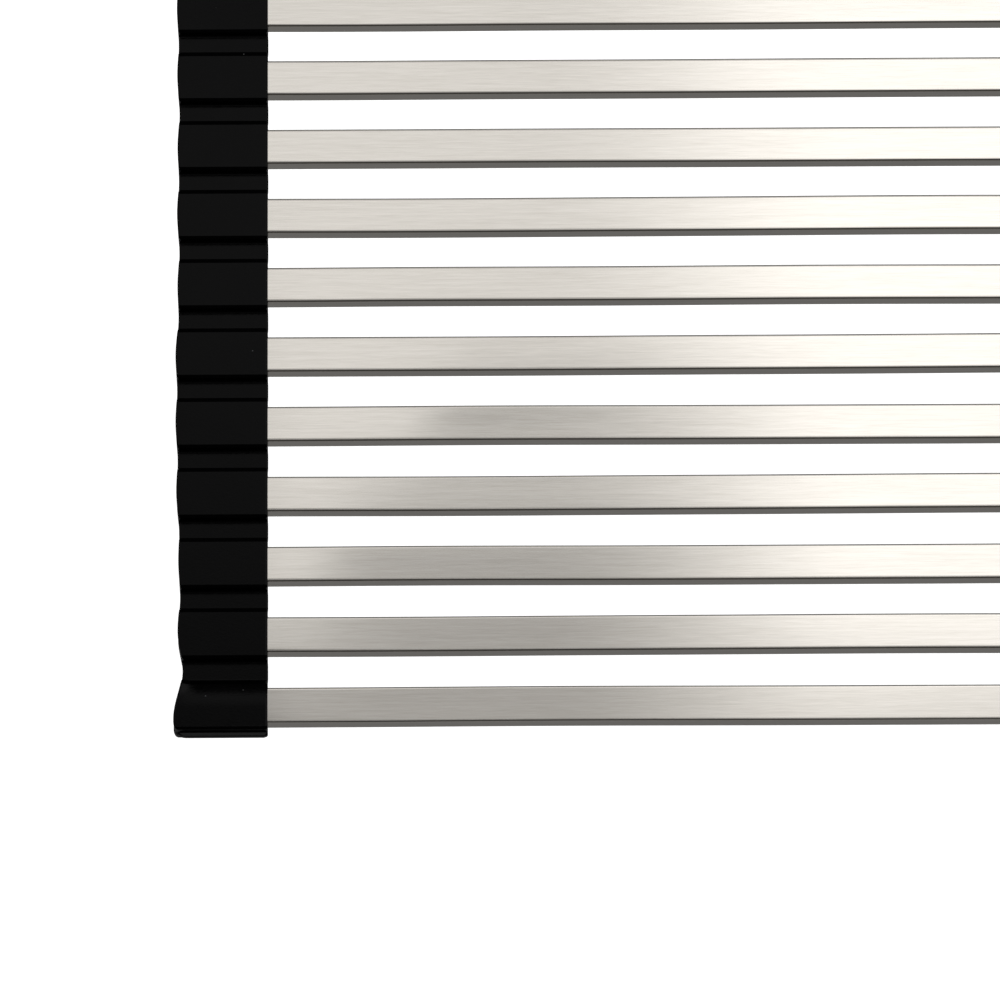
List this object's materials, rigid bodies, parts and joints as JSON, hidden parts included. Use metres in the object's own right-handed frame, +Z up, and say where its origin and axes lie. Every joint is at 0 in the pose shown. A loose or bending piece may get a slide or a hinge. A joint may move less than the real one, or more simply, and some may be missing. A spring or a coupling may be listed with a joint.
{
  "type": "roll-up drying rack",
  "caption": "Flat roll-up dish drying rack of rectangular steel tubes held in black silicone end strips, laid across a sink.",
  "frame": {"origin": "middle of the rack, on the surface that it lies on", "axes": "+X along the bars to the right, +Y from the front bar to the back one, +Z up"},
  "size_m": [0.45, 0.2964, 0.0076],
  "materials": {
    "steel": "brushed along the bar",
    "silicone": "matte, finely grained"
  },
  "bodies": {
    "rung_01": {"bar_01": "steel", "left_sleeve_01": "silicone", "right_sleeve_01": "silicone", "web_01": "silicone"},
    "rung_02": {"bar_02": "steel", "left_sleeve_02": "silicone", "right_sleeve_02": "silicone", "web_02": "silicone"},
    "rung_03": {"bar_03": "steel", "left_sleeve_03": "silicone", "right_sleeve_03": "silicone", "web_03": "silicone"},
    "rung_04": {"bar_04": "steel", "left_sleeve_04": "silicone", "right_sleeve_04": "silicone", "web_04": "silicone"},
    "rung_05": {"bar_05": "steel", "left_sleeve_05": "silicone", "right_sleeve_05": "silicone", "web_05": "silicone"},
    "rung_06": {"bar_06": "steel", "left_sleeve_06": "silicone", "right_sleeve_06": "silicone", "web_06": "silicone"},
    "rung_07": {"bar_07": "steel", "left_sleeve_07": "silicone", "right_sleeve_07": "silicone", "web_07": "silicone"},
    "rung_08": {"bar_08": "steel", "left_sleeve_08": "silicone", "right_sleeve_08": "silicone", "web_08": "silicone"},
    "rung_09": {"bar_09": "steel", "left_sleeve_09": "silicone", "right_sleeve_09": "silicone", "web_09": "silicone"},
    "rung_10": {"bar_10": "steel", "left_sleeve_10": "silicone", "right_sleeve_10": "silicone", "web_10": "silicone"},
    "rung_11": {"bar_11": "steel", "left_sleeve_11": "silicone", "right_sleeve_11": "silicone", "web_11": "silicone"},
    "rung_12": {"bar_12": "steel", "left_sleeve_12": "silicone", "right_sleeve_12": "silicone", "web_12": "silicone"},
    "rung_13": {"bar_13": "steel", "left_sleeve_13": "silicone", "right_sleeve_13": "silicone", "web_13": "silicone"},
    "rung_14": {"bar_14": "steel", "left_sleeve_14": "silicone", "right_sleeve_14": "silicone", "web_14": "silicone"},
    "rung_15": {"bar_15": "steel", "left_sleeve_15": "silicone", "right_sleeve_15": "silicone"}
  },
  "joints": [
    {"name": "bend_01", "type": "hinge", "parent": "rung_01", "child": "rung_02", "pos_m": [0, -0.13, 0.0038], "axis": [1, 0, 0], "range_deg": [-20, 32], "stiffness_Nm_per_rad": 0.02, "deforming": ["web_01"]},
    {"name": "bend_02", "type": "hinge", "parent": "rung_02", "child": "rung_03", "pos_m": [0, -0.11, 0.0038], "axis": [1, 0, 0], "range_deg": [-20, 32], "stiffness_Nm_per_rad": 0.02, "deforming": ["web_02"]},
    {"name": "bend_03", "type": "hinge", "parent": "rung_03", "child": "rung_04", "pos_m": [0, -0.09, 0.0038], "axis": [1, 0, 0], "range_deg": [-20, 33], "stiffness_Nm_per_rad": 0.02, "deforming": ["web_03"]},
    {"name": "bend_04", "type": "hinge", "parent": "rung_04", "child": "rung_05", "pos_m": [0, -0.07, 0.0038], "axis": [1, 0, 0], "range_deg": [-20, 34], "stiffness_Nm_per_rad": 0.02, "deforming": ["web_04"]},
    {"name": "bend_05", "type": "hinge", "parent": "rung_05", "child": "rung_06", "pos_m": [0, -0.05, 0.0038], "axis": [1, 0, 0], "range_deg": [-20, 35], "stiffness_Nm_per_rad": 0.02, "deforming": ["web_05"]},
    {"name": "bend_06", "type": "hinge", "parent": "rung_06", "child": "rung_07", "pos_m": [0, -0.03, 0.0038], "axis": [1, 0, 0], "range_deg": [-20, 36], "stiffness_Nm_per_rad": 0.02, "deforming": ["web_06"]},
    {"name": "bend_07", "type": "hinge", "parent": "rung_07", "child": "rung_08", "pos_m": [0, -0.01, 0.0038], "axis": [1, 0, 0], "range_deg": [-20, 37], "stiffness_Nm_per_rad": 0.02, "deforming": ["web_07"]},
    {"name": "bend_08", "type": "hinge", "parent": "rung_08", "child": "rung_09", "pos_m": [0, 0.01, 0.0038], "axis": [1, 0, 0], "range_deg": [-20, 38], "stiffness_Nm_per_rad": 0.02, "deforming": ["web_08"]},
    {"name": "bend_09", "type": "hinge", "parent": "rung_09", "child": "rung_10", "pos_m": [0, 0.03, 0.0038], "axis": [1, 0, 0], "range_deg": [-20, 40], "stiffness_Nm_per_rad": 0.02, "deforming": ["web_09"]},
    {"name": "bend_10", "type": "hinge", "parent": "rung_10", "child": "rung_11", "pos_m": [0, 0.05, 0.0038], "axis": [1, 0, 0], "range_deg": [-20, 42], "stiffness_Nm_per_rad": 0.02, "deforming": ["web_10"]},
    {"name": "bend_11", "type": "hinge", "parent": "rung_11", "child": "rung_12", "pos_m": [0, 0.07, 0.0038], "axis": [1, 0, 0], "range_deg": [-20, 44], "stiffness_Nm_per_rad": 0.02, "deforming": ["web_11"]},
    {"name": "bend_12", "type": "hinge", "parent": "rung_12", "child": "rung_13", "pos_m": [0, 0.09, 0.0038], "axis": [1, 0, 0], "range_deg": [-20, 46], "stiffness_Nm_per_rad": 0.02, "deforming": ["web_12"]},
    {"name": "bend_13", "type": "hinge", "parent": "rung_13", "child": "rung_14", "pos_m": [0, 0.11, 0.0038], "axis": [1, 0, 0], "range_deg": [-20, 48], "stiffness_Nm_per_rad": 0.02, "deforming": ["web_13"]},
    {"name": "bend_14", "type": "hinge", "parent": "rung_14", "child": "rung_15", "pos_m": [0, 0.13, 0.0038], "axis": [1, 0, 0], "range_deg": [-20, 50], "stiffness_Nm_per_rad": 0.02, "deforming": ["web_14"]}
  ]
}
